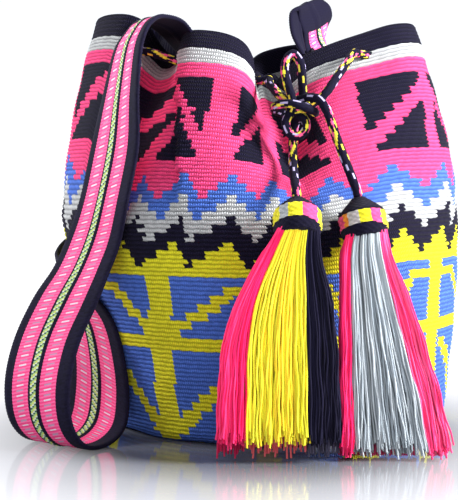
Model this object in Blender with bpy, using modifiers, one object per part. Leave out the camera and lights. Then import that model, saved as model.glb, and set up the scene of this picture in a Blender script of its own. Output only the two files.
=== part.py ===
"""A crocheted mochila bag with a woven strap, a gathered neck, a drawstring and two tassels.

The bag stands on the floor: origin at the middle of its round base, +Z up, -Y towards the viewer.
One sheet of tight crochet makes the base, the wall and the neck. A braided drawstring runs through
eyelets below the rim, draws the neck into folds, and is tied in a bow over the front fold.
"""
import math

import bmesh
import bpy
import numpy as np
from mathutils import Vector

# Body, in metres
BASE_RADIUS = 0.1185
BASE_FILLET = 0.010
BELLY_RADIUS = 0.139
BELLY_HEIGHT = 0.143
LEAN = 0.0115
WALL = 0.004
NECK_CLOTH = 0.141
EYELET_DROP = 0.018
BODY_COLUMNS = 80
FRONT_FOLD_ANGLE = 11.5

# Drawstring and its eyelets
CORD = 0.0056
EYELET_SLACK = 0.0013
SEAT = 0.0004

# Strap
STRAP_WIDTH = 0.054
STRAP_THICK = 0.0028
STRAP_RIB = 0.0007

# Tassels
HEAD_RADIUS = 0.0142
HEAD_HEIGHT = 0.0255
FRINGE_DEPTH = 0.017

# Plan of the gathered neck at the drawstring, outer face, millimetres. It starts in the deep
# front fold and goes round by the left side and the back.
NECK_PLAN = (
    (-5, -29), (-12, -36), (-15, -50), (-18, -64), (-27, -74), (-42, -77), (-59, -73), (-67, -63),
    (-70, -49), (-78, -39), (-87, -44), (-94, -53), (-106, -53), (-119, -39), (-128, -18), (-131, 6),
    (-127, 29), (-116, 48), (-103, 58), (-91, 52), (-86, 36), (-76, 27), (-67, 35), (-66, 54),
    (-60, 72), (-47, 80), (-35, 74), (-31, 56), (-23, 41), (-14, 53), (-13, 72), (-2, 86), (14, 90),
    (29, 86), (38, 74), (40, 56), (42, 38), (54, 24), (68, 26), (75, 36), (79, 50), (89, 52), (99, 36),
    (103, 14), (102, -9), (96, -29), (82, -43), (62, -50), (42, -55), (22, -56), (9, -50), (2, -37),
)

# Route of the drawstring round the neck in plan, millimetres, from the left eyelet by the back
# to the right one: inside each bulge of the neck, outside each fold.
NECK_ROUTE = (
    (-10.5, -61.5), (-17, -57.5), (-27, -55.5), (-43, -55), (-58, -55.5), (-68.5, -56), (-79, -54),
    (-91, -48), (-102, -41), (-111, -25), (-115, 0), (-111, 24), (-102, 38), (-88.5, 44), (-77, 45),
    (-66, 47), (-56, 51), (-45, 55), (-32, 58), (-22, 60), (-13.5, 63), (0, 68), (14, 71), (26, 67),
    (35, 58), (42, 50), (52, 45), (64, 44), (76, 41.5), (85, 37), (91, 28.5), (93, 16), (92, 1),
    (87, -16), (77, -31),
    (67, -41), (58, -50.5), (52.5, -57.5),
)


def drawn(x, y, z=0.0):
    """A point of the plans and routes, which are in millimetres.

    They were drawn round a belly of radius 139 and a wall and neck of 284 together, and they
    widen and rise with those sizes.
    """
    wider = BELLY_RADIUS / 139.0
    return Vector((x * wider, y * wider, z * (BELLY_HEIGHT + NECK_CLOTH) / 284.0))


def smooth_line(points, steps, closed=False):
    """Points along a Catmull-Rom curve through the given points."""
    pts = [Vector(p) for p in points]
    count = len(pts)
    spans = count if closed else count - 1
    line = []
    for i in range(spans):
        if closed:
            a, b, c, d = (pts[(i + k) % count] for k in (-1, 0, 1, 2))
        else:
            b, c = pts[i], pts[i + 1]
            a = pts[i - 1] if i else b * 2.0 - c
            d = pts[i + 2] if i + 2 < count else c * 2.0 - b
        for k in range(steps):
            t = k / steps
            line.append(0.5 * (b * 2.0 + (c - a) * t + (a * 2.0 - b * 5.0 + c * 4.0 - d) * t * t
                               + (b * 3.0 - a - c * 3.0 + d) * t ** 3))
    if not closed:
        line.append(pts[-1].copy())
    return line


def even_line(line, count):
    """The same line as `count` points at even spacing."""
    run = [0.0]
    for a, b in zip(line, line[1:]):
        run.append(run[-1] + (b - a).length)
    even = []
    for i in range(count):
        want = run[-1] * i / (count - 1)
        k = min(int(np.searchsorted(run, want, side="right")) - 1, len(line) - 2)
        part = (want - run[k]) / max(run[k + 1] - run[k], 1e-9)
        even.append(line[k].lerp(line[k + 1], part))
    return even


class Neck:
    """The gathered outline, read by the angle that each strip of cloth has on the belly."""

    def __init__(self):
        line = smooth_line([drawn(x, y) for x, y in NECK_PLAN], 16, closed=True)
        run = [0.0]
        for a, b in zip(line, line[1:] + line[:1]):
            run.append(run[-1] + (b - a).length)
        self.line = line
        self.angles = [FRONT_FOLD_ANGLE - 360.0 * r / run[-1] for r in run[:-1]]

    def at(self, angle):
        """Plan position of the outer face at the eyelet row for one strip of cloth."""
        turn = (FRONT_FOLD_ANGLE - angle) % 360.0
        spread = [FRONT_FOLD_ANGLE - a for a in self.angles] + [360.0]
        k = int(np.searchsorted(spread, turn, side="right")) - 1
        k = min(max(k, 0), len(self.line) - 1)
        part = (turn - spread[k]) / (spread[k + 1] - spread[k])
        return self.line[k].lerp(self.line[(k + 1) % len(self.line)], part)


NECK = Neck()
EYELET_ROW = 1.0 - EYELET_DROP / NECK_CLOTH


def axis_x(height):
    """The bag leans: its middle moves to the left with height, up to the belly."""
    return -LEAN * min(height / BELLY_HEIGHT, 1.0)


def lower_radius(height):
    """Radius of the wall below the belly: nearly straight, upright where it meets the neck."""
    part = height / BELLY_HEIGHT
    return BASE_RADIUS + (BELLY_RADIUS - BASE_RADIUS) * (0.55 * part + 0.45 * math.sin(0.5 * math.pi * part))


def belly_point(angle):
    turn = math.radians(angle)
    return Vector((axis_x(BELLY_HEIGHT) + BELLY_RADIUS * math.sin(turn), -BELLY_RADIUS * math.cos(turn), 0.0))


def neck_point(angle, up, steps=40):
    """Outer face of the neck for one strip of cloth, `up` from 0 at the belly to 1 at the rim.

    The cloth does not stretch, so a strip that is pulled far in ends lower than its neighbours.
    """
    start = belly_point(angle)
    pull = NECK.at(angle) - start
    reach = pull.length / NECK_CLOTH
    power = 1.72 - 0.80 * reach
    height = BELLY_HEIGHT
    ds = NECK_CLOTH * up / steps
    for i in range(steps):
        a = (up * i / steps / EYELET_ROW) ** power
        b = (up * (i + 1) / steps / EYELET_ROW) ** power
        dh = (b - a) * pull.length
        height += math.sqrt(max(ds * ds - dh * dh, (0.12 * ds) ** 2))
    place = start + pull * (up / EYELET_ROW) ** power
    return Vector((place.x, place.y, height))


def outer_ring(level):
    """One ring of the outer face: `level` names the place up the wall, see BODY_LEVELS."""
    kind, value = level
    ring = []
    for i in range(BODY_COLUMNS):
        angle = 360.0 * i / BODY_COLUMNS
        turn = math.radians(angle)
        if kind == "neck":
            ring.append(neck_point(angle, value))
            continue
        radius, height = (lower_radius(value), value) if kind == "wall" else value
        ring.append(Vector((axis_x(height) + radius * math.sin(turn), -radius * math.cos(turn), height)))
    return ring


def body_levels():
    """Rings from the rim down to the flat of the base."""
    levels = [("neck", up) for up in (1.0, 0.94, EYELET_ROW, 0.80, 0.70, 0.59, 0.46, 0.32, 0.16)]
    levels += [("wall", BELLY_HEIGHT * part) for part in (1.0, 0.76, 0.5, 0.26)]
    top = lower_radius(BASE_FILLET)
    for turn in (0.0, 30.0, 60.0, 90.0):
        bend = math.radians(turn)
        radius = top - BASE_FILLET * (1.0 - math.cos(bend))
        levels.append(("base", (radius, BASE_FILLET * (1.0 - math.sin(bend)))))
    return levels


def new_collection(name):
    made = bpy.data.collections.new(name)
    bpy.context.scene.collection.children.link(made)
    return made


def material(name, colour, roughness):
    made = bpy.data.materials.new(name)
    made.use_nodes = True
    shader = made.node_tree.nodes["Principled BSDF"]
    shader.inputs["Base Color"].default_value = (*colour, 1.0)
    shader.inputs["Roughness"].default_value = roughness
    return made


def mesh_object(name, bm, finish, collection):
    mesh = bpy.data.meshes.new(name)
    bm.normal_update()
    bm.to_mesh(mesh)
    bm.free()
    mesh.materials.append(finish)
    made = bpy.data.objects.new(name, mesh)
    collection.objects.link(made)
    mesh.shade_smooth()
    return made


def loft(bm, rings, cap_start=True, cap_end=True):
    """Joins closed rings of equal count with quads, and closes the ends."""
    rows = [[bm.verts.new(p) for p in ring] for ring in rings]
    count = len(rows[0])
    for upper, lower in zip(rows, rows[1:]):
        for i in range(count):
            k = (i + 1) % count
            bm.faces.new((upper[i], upper[k], lower[k], lower[i]))
    if cap_start:
        bm.faces.new(list(reversed(rows[0])))
    if cap_end:
        bm.faces.new(rows[-1])
    return rows


def face_out(bm):
    bmesh.ops.recalc_face_normals(bm, faces=bm.faces)


def make_body(collection, cutters, finish):
    """The crocheted bag: an open shell with the wall's thickness, and eyelets cut through it."""
    bm = bmesh.new()
    loft(bm, [outer_ring(level) for level in body_levels()], cap_start=False, cap_end=True)
    bm.normal_update()
    base = max(bm.faces, key=lambda f: len(f.verts))
    if base.normal.z > 0.0:
        bmesh.ops.reverse_faces(bm, faces=bm.faces)
    body = mesh_object("bag_body", bm, finish, collection)
    shell = body.modifiers.new("wall", "SOLIDIFY")
    shell.thickness = WALL
    shell.offset = -1.0
    for number, (place, travel, length) in enumerate(eyelets()):
        cutter = eyelet_cutter("eyelet_cutter_%d" % (number + 1), place, travel, length, cutters)
        cut = body.modifiers.new("eyelet_%d" % (number + 1), "BOOLEAN")
        cut.operation = "DIFFERENCE"
        cut.solver = "EXACT"
        cut.object = cutter
    return body


def drawstring_height(angle):
    return neck_point(angle, EYELET_ROW).z


def route_crossings(line):
    """Where the drawstring's plan route goes through the wall: place along it and cloth angle."""
    outline = NECK.line
    found = []
    for i in range(len(line) - 1):
        p, r = line[i], line[i + 1] - line[i]
        for k in range(len(outline)):
            q, s = outline[k], outline[(k + 1) % len(outline)] - outline[k]
            cross = r.x * s.y - r.y * s.x
            if abs(cross) < 1e-12:
                continue
            t = ((q.x - p.x) * s.y - (q.y - p.y) * s.x) / cross
            u = ((q.x - p.x) * r.y - (q.y - p.y) * r.x) / cross
            if 0.0 <= t < 1.0 and 0.0 <= u < 1.0:
                following = NECK.angles[k + 1] if k + 1 < len(outline) else FRONT_FOLD_ANGLE - 360.0
                found.append((i + t, NECK.angles[k] + (following - NECK.angles[k]) * u))
    return found


def route_plan():
    return smooth_line([drawn(x, y) for x, y in NECK_ROUTE], 10)


def drawstring_line():
    """The route round the neck in space: it is level with the eyelet row at each crossing."""
    plan = route_plan()
    knots = [(at, drawstring_height(angle)) for at, angle in route_crossings(plan)]
    places = [at for at, height in knots]
    heights = [height for at, height in knots]
    line = []
    for i, point in enumerate(plan):
        line.append(Vector((point.x, point.y, float(np.interp(i, places, heights)))))
    return line


def eyelets():
    """Middle of each eyelet, the way the cord goes through it, and how long the cutter has to be."""
    line = drawstring_line()
    found = []
    for at, angle in route_crossings(route_plan()):
        across = neck_point(angle + 0.8, EYELET_ROW) - neck_point(angle - 0.8, EYELET_ROW)
        up = neck_point(angle, EYELET_ROW + 0.02) - neck_point(angle, EYELET_ROW - 0.02)
        out = across.cross(up).normalized()
        i = int(at)
        travel = (line[min(i + 3, len(line) - 1)] - line[max(i - 2, 0)]).normalized()
        slant = travel.dot(out)
        here = line[i].lerp(line[i + 1], at - i) - travel * (0.5 * WALL / slant)
        skew = math.sqrt(max(1.0 - slant * slant, 0.0)) / abs(slant)
        found.append((here, travel, (WALL + 4.0 * EYELET_SLACK) / abs(slant) + (CORD + 2.0 * EYELET_SLACK) * skew))
    return found


def eyelet_cutter(name, place, travel, length, collection):
    """A square bar along the cord, with slack round the cord on all sides."""
    bm = bmesh.new()
    bmesh.ops.create_cube(bm, size=1.0)
    side = travel.cross(Vector((0.0, 0.0, 1.0))).normalized()
    up = side.cross(travel)
    width = CORD + 2.0 * EYELET_SLACK
    for v in bm.verts:
        v.co = place + side * (v.co.x * width) + travel * (v.co.y * length) + up * (v.co.z * width)
    mesh = bpy.data.meshes.new(name)
    bm.to_mesh(mesh)
    bm.free()
    made = bpy.data.objects.new(name, mesh)
    collection.objects.link(made)
    made.hide_render = True
    made.display_type = "WIRE"
    return made


def cord_object(name, points, diameter, finish, collection):
    """A cord: a poly curve with a round bevel and filled ends."""
    curve = bpy.data.curves.new(name, "CURVE")
    curve.dimensions = "3D"
    curve.bevel_depth = 0.5 * diameter
    curve.bevel_resolution = 2
    curve.use_fill_caps = True
    spline = curve.splines.new("POLY")
    spline.points.add(len(points) - 1)
    for target, point in zip(spline.points, points):
        target.co = (*point, 1.0)
    curve.materials.append(finish)
    made = bpy.data.objects.new(name, curve)
    collection.objects.link(made)
    return made


# Strap stations in millimetres: far edge, then near edge, from the end sewn inside the left of the
# neck, over the rim, down the front left, round the loop on the floor, and behind the bag to the rim.
STRAP_STATIONS = (
    ((-63, -5, 250), (-45.5, -53, 251)),
    ((-64, -8, 259), (-47, -56, 262)),
    ((-73, -19, 270), (-58, -67, 275)),
    ((-84, -37, 276), (-72, -86, 276)),
    ((-92, -53, 276), (-79.5, -98, 272)),
    ((-101, -61, 266), (-85, -107, 263)),
    ((-108, -65, 250), (-87.5, -113, 247)),
    ((-114.7, -75, 219.5), (-88.5, -122, 219)),
    ((-122, -80, 187), (-88.5, -122.5, 187)),
    ((-128.9, -82, 154), (-95, -123, 154)),
    ((-137.9, -77, 130), (-100.5, -115, 129)),
    ((-147, -80, 110), (-107, -117, 110)),
    ((-159, -90, 91), (-114.5, -122, 90)),
    ((-170, -98, 66), (-124.5, -129, 66)),
    ((-174.5, -107, 41), (-129, -138, 41)),
    ((-172.5, -107, 18), (-127.5, -138, 18)),
    ((-164, -99, 4), (-119, -131, 3.5)),
    ((-152, -84, 2), (-107.5, -115.5, 2)),
    ((-143, -67, 10), (-99, -99.5, 9)),
    ((-140, -58, 28), (-97, -91.5, 25)),
    ((-140, -53, 50), (-99, -89.5, 47)),
    ((-143, -45, 68), (-107, -86, 76)),
    ((-148.5, -28, 77), (-125.5, -75, 98)),
    ((-149, -6, 71), (-148.5, -38, 113)),
    ((-143, 18, 71), (-154.4, -4, 120)),
    ((-135, 49, 78), (-150, 33, 127)),
    ((-118, 82, 88), (-135, 71, 137)),
    ((-90.5, 114, 103), (-107, 106, 152)),
    ((-54, 136.5, 124), (-71, 128.5, 175)),
    ((-12, 143.5, 153), (-36, 134, 203)),
    ((22, 136, 190), (-12, 125, 232)),
    ((47, 113, 214), (14, 120, 256)),
    ((55, 82, 240), (34, 106, 276)),
    ((50, 54, 262), (47, 95, 292)),
    ((42, 38, 277), (47, 87, 301)),
    ((33, 34, 288.5), (42, 85, 305.5)),
    ((23, 33, 293.5), (36, 83.5, 307)),
    ((16, 27, 288), (29, 75, 299)),
    ((16, 20, 273), (25, 68, 284)),
    ((22.5, 16, 258), (23, 64, 267)),
)
STRAP_ROWS = 62


def strap_section(far, near, along):
    """Section of the band: flat, with a raised chain along the middle of the outer face."""
    across = (near - far).normalized()
    middle = (near + far) * 0.5
    out = along.cross(across).normalized()
    half, face, chain = 0.5 * STRAP_WIDTH, 0.5 * STRAP_THICK, 0.5 * STRAP_THICK + STRAP_RIB
    outline = ((-half, face), (-0.08 * STRAP_WIDTH, face), (-0.05 * STRAP_WIDTH, chain),
               (0.05 * STRAP_WIDTH, chain), (0.08 * STRAP_WIDTH, face), (half, face),
               (half, -face), (-half, -face))
    return [middle + across * u + out * v for u, v in outline]


def make_strap(collection, finish):
    """The woven band: one section carried along the stations."""
    edges = []
    for side in (0, 1):
        edges.append(smooth_line([drawn(*pair[side]) for pair in STRAP_STATIONS], 12))
    middle = [(a + b) * 0.5 for a, b in zip(*edges)]
    run = [0.0]
    for a, b in zip(middle, middle[1:]):
        run.append(run[-1] + (b - a).length)
    rings = []
    for i in range(STRAP_ROWS):
        want = run[-1] * i / (STRAP_ROWS - 1)
        k = min(int(np.searchsorted(run, want, side="right")) - 1, len(run) - 2)
        part = (want - run[k]) / (run[k + 1] - run[k])
        far, near = (edge[k].lerp(edge[k + 1], part) for edge in edges)
        rings.append(strap_section(far, near, middle[k + 1] - middle[k]))
    bm = bmesh.new()
    loft(bm, rings)
    face_out(bm)
    return mesh_object("shoulder_strap", bm, finish, collection)


# Free ends of the drawstring in millimetres, from outside the eyelets through the bow to the tassels.
LEFT_END = (
    (-6.6, -70, 230), (-4.4, -80, 226), (-1.6, -90, 221.5), (3.2, -98.8, 218), (10.1, -105.4, 217),
    (17, -111, 218.3), (22.6, -115, 216.6), (27, -118, 210), (30.5, -121, 200), (34, -125, 189),
    (37.8, -129.6, 178), (41.2, -134, 168.5), (43.8, -138, 160.8), (44.5, -139.6, 156.2),
)
RIGHT_END = (
    (46.4, -66, 247.6), (41.6, -76, 240.6), (35, -87.5, 231.5), (28.6, -94.5, 222.5), (20.5, -94.5, 214.6),
    (12, -92, 210.8), (4, -93, 209.6), (-2.5, -98, 210.4), (-4.6, -105.5, 212), (-1.8, -113, 213.6),
    (5, -117.6, 214), (12, -118, 212.5), (18.2, -114.6, 210), (20.6, -108.5, 209), (18.2, -102.4, 211),
    (14.4, -100, 216.2), (13.4, -101.6, 223), (12.8, -104.5, 229.5), (12.2, -106.5, 235.5), (10.9, -107.5, 241),
    (6.8, -108, 245.4), (2.6, -108.5, 241), (1.6, -109, 234.5), (3, -109.5, 227.5), (5.4, -110, 220.5),
    (6.2, -110.3, 213.4), (4.4, -111, 207.6), (2.2, -112.5, 201.8), (4.4, -114, 196), (9.2, -114.4, 194),
    (13.9, -114, 197), (14.9, -112.5, 202.5), (12, -109, 206), (8.6, -104.4, 203.5), (7.4, -104.2, 196.5),
    (6.8, -108.4, 188), (6.5, -117.5, 179.5), (6.4, -128, 171.6), (6.6, -136.5, 166.4), (6.9, -143, 162.9),
    (7, -147.2, 159.8), (7, -149, 155.9),
)
FREE_POINTS = {"left": 26, "right": 54}
NECK_POINTS = 76
STRAIGHT = 0.0045


def free_end(side):
    """Centre line of a free end: it goes on from the run through the eyelets, across a small gap."""
    run = drawstring_line()
    last, before = (run[0], run[1]) if side == "left" else (run[-1], run[-2])
    ahead = (last - before).normalized()
    start = [last + ahead * SEAT, last + ahead * (SEAT + STRAIGHT)]
    route = LEFT_END if side == "left" else RIGHT_END
    return even_line(smooth_line(start + [drawn(*p) for p in route], 10), FREE_POINTS[side])


def head_frame(line):
    """Where a tassel head hangs on its cord, and the way its axis points up."""
    up = (line[-2] - line[-1]).normalized()
    return line[-1] - up * (SEAT + 0.5 * HEAD_HEIGHT), up


def make_head(name, line, collection, finish):
    """Tassel head: a turned profile with a cone, a swollen band and a wrapped neck."""
    profile = (
        (0.0, 0.50), (0.26, 0.50), (0.42, 0.40), (0.80, 0.20), (0.97, 0.10), (1.0, -0.02), (0.98, -0.10),
        (0.93, -0.13), (1.0, -0.18), (0.98, -0.33), (0.86, -0.44), (0.74, -0.50), (0.0, -0.50),
    )
    mesh = bpy.data.meshes.new(name)
    points = [(r * HEAD_RADIUS, 0.0, z * HEAD_HEIGHT) for r, z in profile]
    mesh.from_pydata(points, [(i, i + 1) for i in range(len(points) - 1)], [])
    mesh.materials.append(finish)
    head = bpy.data.objects.new(name, mesh)
    collection.objects.link(head)
    head.location, up = head_frame(line)
    head.rotation_euler = up.to_track_quat("Z", "Y").to_euler()
    turn = head.modifiers.new("turn", "SCREW")
    turn.steps = 16
    turn.render_steps = 16
    turn.use_merge_vertices = True
    turn.merge_threshold = 0.0001
    turn.use_smooth_shade = True
    return head


# Fringes in millimetres: borders between the colours where the threads leave the head, measured
# from its axis, then the height of each lower level and the place across of each border.
FRINGES = {
    "left": {
        "colours": ("pink", "yellow", "navy"),
        "top": (-10.2, -5.6, 4.6, 10.2),
        "depth": -157.5,
        "levels": (
            (122.0, (-14.6, -7.8, 11.0, 20.6)),
            (99.0, (-26.8, -17.2, 12.0, 26.6)),
            (72.0, (-36.0, -22.0, 12.8, 30.0)),
            (42.0, (-38.6, -22.8, 13.6, 31.6)),
            (13.0, (-39.5, -23.2, 14.2, 32.6)),
        ),
    },
    "right": {
        "colours": ("pink", "silver", "rose"),
        "top": (-10.2, -6.6, 5.6, 10.2),
        "depth": -149.0,
        "levels": (
            (122.0, (33.8, 38.0, 57.0, 63.0)),
            (98.0, (33.7, 38.6, 63.0, 73.0)),
            (68.0, (33.8, 39.2, 71.0, 83.0)),
            (38.0, (34.2, 39.8, 79.0, 91.5)),
            (5.0, (35.0, 40.6, 85.5, 98.5)),
        ),
    },
}
FRINGE_GAP = 0.0009
FLUTES = 9


def hank_ring(centre, across, deep, half, depth):
    """Section of a hank of threads: a flat oval with a groove between its bundles."""
    ring = []
    for i in range(2 * FLUTES):
        turn = math.pi * i / FLUTES
        bulge = 1.0 if i % 2 else 0.86
        x, y = math.cos(turn), math.sin(turn)
        x = math.copysign(abs(x) ** 0.7, x) * half
        y = math.copysign(abs(y) ** 0.7, y) * 0.5 * depth * bulge
        ring.append(centre + across * x + deep * y)
    return ring


def make_fringe(side, line, finishes, collection):
    """One closed solid for each colour of thread that hangs from the head."""
    fringe = FRINGES[side]
    middle, up = head_frame(line)
    turn = up.to_track_quat("Z", "Y")
    top = middle - up * (0.5 * HEAD_HEIGHT + SEAT)
    for k, colour in enumerate(fringe["colours"]):
        left, right = (drawn(edge, 0.0).x for edge in fringe["top"][k:k + 2])
        across, deep = turn @ Vector((1.0, 0.0, 0.0)), turn @ Vector((0.0, 1.0, 0.0))
        if across.x < 0.0:
            across, deep = -across, -deep
        half = 0.5 * (right - left - FRINGE_GAP)
        rings = [hank_ring(top + across * (0.5 * (left + right)), across, deep, half, 0.8 * FRINGE_DEPTH)]
        for height, borders in fringe["levels"]:
            near, far = (drawn(edge, fringe["depth"], height) for edge in borders[k:k + 2])
            centre = (near + far) * 0.5
            half = 0.5 * (far.x - near.x - FRINGE_GAP)
            ring = hank_ring(centre, Vector((1.0, 0.0, 0.0)), Vector((0.0, 1.0, 0.0)), half, FRINGE_DEPTH)
            rings.append(ring)
        bm = bmesh.new()
        loft(bm, rings)
        face_out(bm)
        mesh_object("fringe_%s_%s" % (side, colour), bm, finishes[colour], collection)


def main():
    for old in list(bpy.data.objects):
        bpy.data.objects.remove(old)
    parts = new_collection("mochila")
    cutters = new_collection("cutters")
    make_body(parts, cutters, material("crochet", (0.85, 0.10, 0.30), 0.85))
    cord = material("braided_cord", (0.02, 0.02, 0.05), 0.7)
    cord_object("drawstring_neck", even_line(drawstring_line(), NECK_POINTS), CORD, cord, parts)
    make_strap(parts, material("woven_band", (0.80, 0.08, 0.25), 0.8))
    heads = material("tassel_head", (0.90, 0.80, 0.05), 0.8)
    finishes = {
        "pink": material("thread_pink", (1.0, 0.05, 0.25), 0.6),
        "rose": material("thread_rose", (1.0, 0.15, 0.35), 0.6),
        "yellow": material("thread_yellow", (0.95, 0.85, 0.05), 0.6),
        "navy": material("thread_navy", (0.02, 0.02, 0.06), 0.6),
        "silver": material("thread_silver", (0.45, 0.50, 0.53), 0.6),
    }
    for side in ("left", "right"):
        line = free_end(side)
        cord_object("drawstring_%s_end" % side, line, CORD, cord, parts)
        hanging = {"left": "right", "right": "left"}[side]
        make_head("tassel_head_%s" % hanging, line, parts, heads)
        make_fringe(hanging, line, finishes, parts)


main()
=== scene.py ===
"""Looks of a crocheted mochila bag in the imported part's frame: yarn, braid, band and tassels.

Each section below makes one piece of the real object: sizes, colours, mesh, finish and its place
in the part. Positions in lists are millimetres in the row frame, all else is in metres.
"""

import math
import random

import bmesh
import bpy
import numpy as np
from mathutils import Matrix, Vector


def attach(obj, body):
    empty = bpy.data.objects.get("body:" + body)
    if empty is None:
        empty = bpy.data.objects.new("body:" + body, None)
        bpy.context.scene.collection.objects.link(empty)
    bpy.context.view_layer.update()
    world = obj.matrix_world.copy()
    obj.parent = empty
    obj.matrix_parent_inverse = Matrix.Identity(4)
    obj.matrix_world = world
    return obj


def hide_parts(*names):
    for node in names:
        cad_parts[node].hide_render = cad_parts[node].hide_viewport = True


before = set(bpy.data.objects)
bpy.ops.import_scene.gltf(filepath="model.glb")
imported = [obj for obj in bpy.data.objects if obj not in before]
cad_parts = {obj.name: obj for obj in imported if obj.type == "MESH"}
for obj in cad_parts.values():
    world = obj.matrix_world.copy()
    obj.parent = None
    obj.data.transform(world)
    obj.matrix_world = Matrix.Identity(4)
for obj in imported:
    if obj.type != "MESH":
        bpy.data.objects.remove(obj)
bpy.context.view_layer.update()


# The photograph's place: in front of the bow, level with the upper wall, tipped a little down.
CAMERA_TIP = 2.94
camera_data = bpy.data.cameras.new("camera")
camera_data.sensor_fit = "VERTICAL"
camera_data.sensor_height = 36.0
camera_data.lens = 91.15
camera = bpy.data.objects.new("camera", camera_data)
camera.location = (-0.033, -0.90, 0.164)
camera.rotation_euler = (math.radians(90.0 - CAMERA_TIP), 0.0, 0.0)
bpy.context.scene.collection.objects.link(camera)
bpy.context.scene.camera = camera
bpy.context.scene.view_settings.view_transform = "Standard"

# A white studio: light from all round, a large soft lamp at the right and a rim lamp at the left.
# The backdrop is brighter to the eye than it lights the bag.
BACKDROP_LIGHT = 0.40
BACKDROP_SEEN = 1.1
LAMP_TARGET = Vector((0.0, 0.0, 0.14))
world = bpy.data.worlds.new("studio")
world.use_nodes = True
backdrop = world.node_tree.nodes["Background"]
backdrop.inputs["Color"].default_value = (0.93, 0.96, 1.0, 1.0)
to_eye = world.node_tree.nodes.new("ShaderNodeLightPath")
level = world.node_tree.nodes.new("ShaderNodeMapRange")
level.inputs["To Min"].default_value = BACKDROP_LIGHT
level.inputs["To Max"].default_value = BACKDROP_SEEN
world.node_tree.links.new(to_eye.outputs["Is Camera Ray"], level.inputs["Value"])
world.node_tree.links.new(level.outputs["Result"], backdrop.inputs["Strength"])
bpy.context.scene.world = world

for lamp_name, place, size, power in (
    ("lamp_right", (1.10, -0.45, 0.75), 0.5, 52.0),
    ("lamp_left_back", (-1.0, 0.25, 0.6), 0.5, 14.0),
    ("lamp_front", (-0.2, -1.6, 0.9), 0.9, 8.0),
):
    lamp_data = bpy.data.lights.new(lamp_name, "AREA")
    lamp_data.shape = "DISK"
    lamp_data.size = size
    lamp_data.energy = power
    lamp = bpy.data.objects.new(lamp_name, lamp_data)
    lamp.location = place
    lamp.rotation_euler = (LAMP_TARGET - Vector(place)).to_track_quat("-Z", "Y").to_euler()
    bpy.context.scene.collection.objects.link(lamp)


# Floor of the studio: a glossy sheet that mirrors the bag faintly and looks white by painted light. It glows,
# with a painted shadow of the bag close by, and is as bright as the backdrop from some way off: glow at some
# distances from its middle.
FLOOR_PAINTED_LIGHT = (
    (0.12, 0.0), (0.135, 0.08), (0.155, 0.22), (0.175, 0.40), (0.21, 0.60), (0.26, 0.85), (0.32, 1.0),
)
PAINTED_LIGHT_BLUE = 1.03
FLOOR_SIZE = 30.0
PAINTED_SHADOW_SCALE = (1.15, 1.0, 1.0)
PAINTED_SHADOW_SHIFT = (0.023, 0.05, 0.0)
floor_finish = bpy.data.materials.new("floor_gloss")
floor_finish.use_nodes = True
floor_node, floor_link = floor_finish.node_tree.nodes.new, floor_finish.node_tree.links.new
floor_shader = floor_finish.node_tree.nodes["Principled BSDF"]
floor_shader.inputs["Base Color"].default_value = (0.12, 0.125, 0.145, 1.0)
floor_shader.inputs["Roughness"].default_value = 0.10
floor_shader.inputs["Emission Strength"].default_value = 1.0
floor_place, floor_reach = floor_node("ShaderNodeTexCoord"), floor_node("ShaderNodeVectorMath")
floor_shift = floor_node("ShaderNodeVectorMath")
floor_shift.operation = "MULTIPLY_ADD"
floor_shift.inputs[1].default_value = PAINTED_SHADOW_SCALE
floor_shift.inputs[2].default_value = PAINTED_SHADOW_SHIFT
painted_light_ramp = floor_node("ShaderNodeValToRGB")
floor_reach.operation = "LENGTH"
while len(painted_light_ramp.color_ramp.elements) < len(FLOOR_PAINTED_LIGHT):
    painted_light_ramp.color_ramp.elements.new(0.5)
for element, (reach, glow) in zip(painted_light_ramp.color_ramp.elements, FLOOR_PAINTED_LIGHT):
    element.position = reach
    element.color = (glow, glow, min(glow * PAINTED_LIGHT_BLUE, 1.0), 1.0)
floor_link(floor_place.outputs["Object"], floor_shift.inputs[0])
floor_link(floor_shift.outputs["Vector"], floor_reach.inputs[0])
floor_link(floor_reach.outputs["Value"], painted_light_ramp.inputs["Fac"])
# Painted light and painted shadow: the floor's emission follows the distance from the bag
floor_link(painted_light_ramp.outputs["Color"], floor_shader.inputs["Emission Color"])
bm = bmesh.new()
bmesh.ops.create_grid(bm, x_segments=1, y_segments=1, size=FLOOR_SIZE)
floor_mesh = bpy.data.meshes.new("floor")
bm.to_mesh(floor_mesh)
bm.free()
floor_mesh.materials.append(floor_finish)
floor = bpy.data.objects.new("floor", floor_mesh)
bpy.context.scene.collection.objects.link(floor)


# Drawstring: one braided cotton cord, sixteen strands, most of them navy. It runs through the
# eyelets below the rim and comes out on both sides of the front fold.
def linear(*srgb):
    """Linear colour from an sRGB one in 0 to 255."""
    c = np.asarray(srgb, dtype=float) / 255.0
    return np.where(c <= 0.04045, c / 12.92, ((c + 0.055) / 1.055) ** 2.4)


def hashed(a, b):
    """A fixed scatter from 0 to 1 for each pair of whole numbers."""
    x = np.sin(np.asarray(a) * 12.9898 + np.asarray(b) * 78.233) * 43758.5453
    return x - np.floor(x)


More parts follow.
